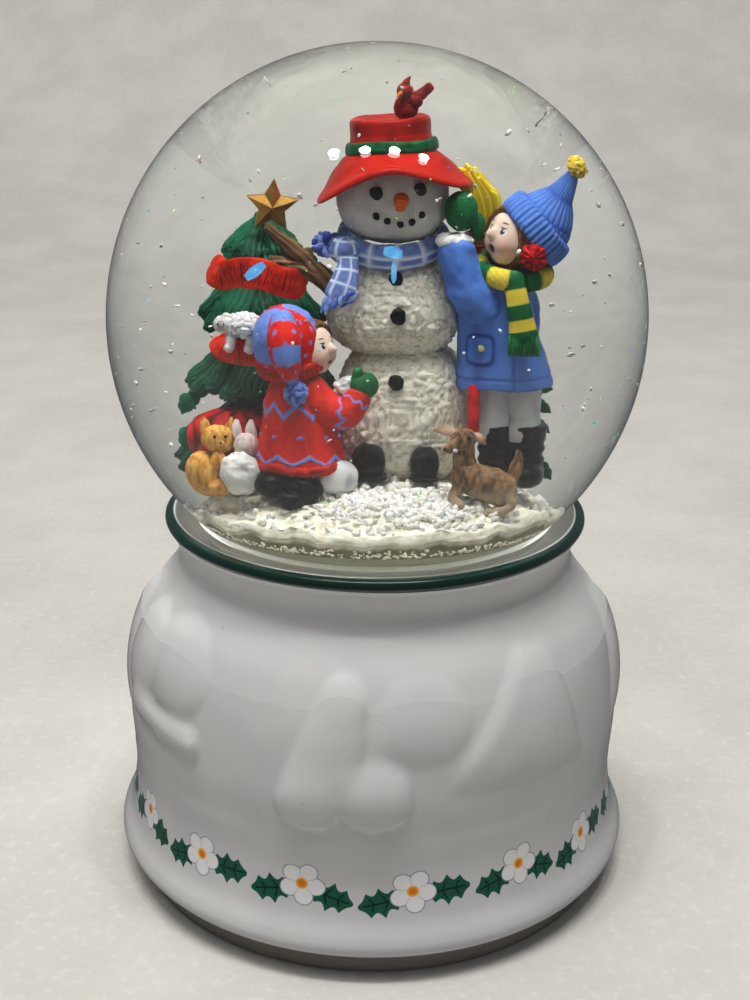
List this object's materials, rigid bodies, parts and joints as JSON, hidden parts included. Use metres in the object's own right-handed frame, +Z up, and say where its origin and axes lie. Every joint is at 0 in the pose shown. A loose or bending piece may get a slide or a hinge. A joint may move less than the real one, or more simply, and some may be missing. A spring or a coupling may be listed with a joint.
{
  "type": "musical snow globe",
  "caption": "Water-filled glass snow globe on a bell-shaped glazed ceramic base, with a painted snowman group inside and a wind-up music movement under it.",
  "frame": {"origin": "centre of the base's foot, on the surface that it stands on", "axes": "+Z up through the ball; -Y is the front, which the snowman faces"},
  "size_m": [0.1036, 0.1036, 0.159],
  "materials": {
    "glazed_ceramic": "glossy warm-white glaze with a dark green rim line and printed flowers",
    "clear_glass": "clear polished",
    "stopper_rubber": "pale moulded rubber",
    "silicone": "translucent cured sealant",
    "snow_flakes": "white flakes with iridescent glitter",
    "black_plastic": "fine grained moulded",
    "cast_zinc": "die-cast, satin",
    "steel": "bright turned",
    "key_brass": "stamped and plated",
    "movement_brass": "machined",
    "resin_snow": "cast resin, rough cream-white snow",
    "paint_orange": "hand-painted resin",
    "paint_black": "satin paint on resin",
    "paint_green": "hand-painted resin",
    "paint_red": "hand-painted resin",
    "paint_dark_red": "hand-painted resin",
    "paint_blue_plaid": "hand-painted plaid on resin",
    "paint_blue": "hand-painted resin",
    "paint_brown": "hand-painted resin",
    "paint_straw": "hand-painted resin",
    "paint_skin": "hand-painted resin",
    "paint_yellow_stripe": "hand-painted stripes on resin",
    "paint_grey": "hand-painted resin",
    "paint_fir_green": "hand-painted resin",
    "paint_gold": "metallic paint on resin",
    "paint_ginger": "hand-painted resin"
  },
  "bodies": {
    "globe": {"ceramic_base": "glazed_ceramic", "glass_globe": "clear_glass", "rubber_stopper": "stopper_rubber", "sealant_ring": "silicone", "settled_snow": "snow_flakes", "cover_plate": "black_plastic", "cover_bead": "silicone", "bedplate": "cast_zinc", "movement_screws": "steel", "governor_frame": "movement_brass", "comb": "steel", "bench_screws": "steel", "carrot_nose": "paint_orange", "coal_face": "paint_black", "hat_band": "paint_green", "hat": "paint_red", "snowman_head": "resin_snow", "snowman_scarf": "paint_blue_plaid", "coal_buttons": "paint_black", "snowman_upper_body": "resin_snow", "snowman_boots": "paint_black", "snowman_lower_body": "resin_snow", "twig_arm": "paint_brown", "cardinal": "paint_dark_red", "broom": "paint_straw", "kneeling_child_hat": "paint_red", "kneeling_child_head": "paint_skin", "kneeling_child_mitten": "paint_green", "kneeling_child_coat": "paint_red", "kneeling_child_legs": "paint_black", "standing_child_earmuff": "paint_red", "standing_child_hat": "paint_blue", "standing_child_head": "paint_skin", "standing_child_scarf": "paint_yellow_stripe", "standing_child_mitten": "paint_green", "standing_child_coat": "paint_blue", "standing_child_boots": "paint_black", "standing_child_trousers": "paint_grey", "fawn": "paint_brown", "holly_sprigs": "paint_fir_green", "tree_star": "paint_gold", "ribbon_banners": "paint_red", "lamb": "resin_snow", "red_drape": "paint_red", "toy_cat": "paint_ginger", "toy_rabbit": "resin_snow", "tree": "paint_fir_green", "snow_mound": "resin_snow"},
    "winding_key": {"winding_key": "key_brass", "winding_arbor": "steel", "arbor_circlip": "steel"},
    "spring_barrel": {"spring_barrel": "movement_brass", "barrel_lid": "movement_brass", "mainspring": "steel"},
    "note_cylinder": {"note_cylinder": "movement_brass", "cylinder_arbor": "steel", "cylinder_wheel": "movement_brass"},
    "second_wheel": {"second_wheel": "steel"},
    "governor_fan": {"governor_fan": "steel"}
  },
  "joints": [
    {"name": "key_turn", "type": "hinge", "parent": "globe", "child": "winding_key", "pos_m": [0, 0, 0.008], "axis": [0, 0, 1], "continuous": true},
    {"name": "cylinder_spin", "type": "hinge", "parent": "globe", "child": "note_cylinder", "pos_m": [0.0255, 0, 0.02559], "axis": [1, 0, 0], "continuous": true},
    {"name": "barrel_spin", "type": "hinge", "parent": "globe", "child": "spring_barrel", "pos_m": [0, 0, 0.0265], "axis": [0, 0, 1], "continuous": true},
    {"name": "second_wheel_spin", "type": "hinge", "parent": "globe", "child": "second_wheel", "pos_m": [0.0355, 0.00822, 0.02859], "axis": [1, 0, 0], "continuous": true},
    {"name": "fan_spin", "type": "hinge", "parent": "globe", "child": "governor_fan", "pos_m": [0.0355, 0.00697, 0.03568], "axis": [1, 0, 0], "continuous": true}
  ],
  "couplings": [
    {"joint": "barrel_spin", "follows": "cylinder_spin", "ratio": 0.25},
    {"joint": "second_wheel_spin", "follows": "cylinder_spin", "ratio": -4},
    {"joint": "fan_spin", "follows": "cylinder_spin", "ratio": 20}
  ]
}
